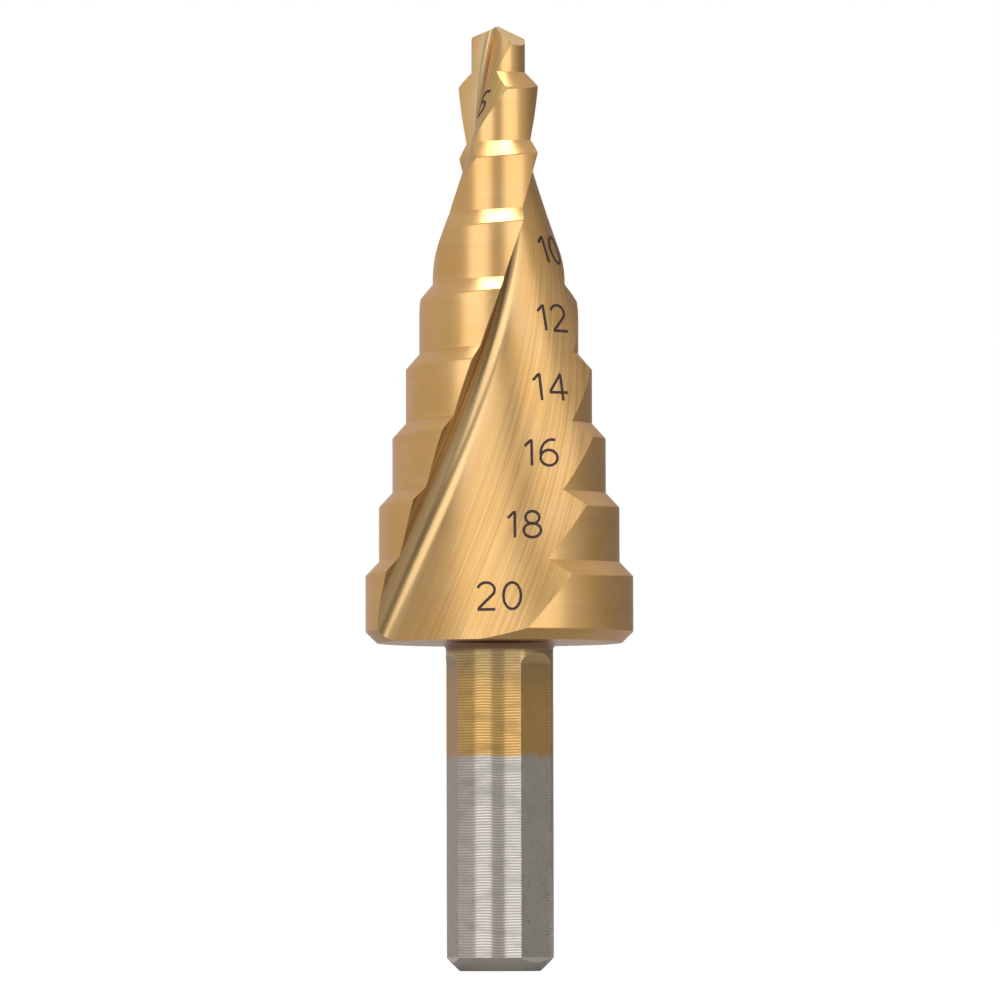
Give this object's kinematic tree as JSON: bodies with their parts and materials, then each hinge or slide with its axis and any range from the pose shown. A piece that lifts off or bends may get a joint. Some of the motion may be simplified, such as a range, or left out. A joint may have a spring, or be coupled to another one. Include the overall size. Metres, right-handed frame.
{
  "type": "step drill",
  "caption": "Spiral-fluted step drill for 4 to 20 mm holes, gold-coated, with relief-ground cutting lands and an 8 mm shank with clamping flats.",
  "frame": {"origin": "centre of the shank's end face, which the drill stands on", "axes": "+Z along the drill's axis to the point; -Y to the side that the picture shows"},
  "size_m": [0.02, 0.0194, 0.0705],
  "materials": {
    "coated_steel": "high-speed steel, ground, with a gold nitride coating that ends partway down a bare shank"
  },
  "bodies": {
    "root": {"step_drill": "coated_steel"}
  },
  "joints": []
}
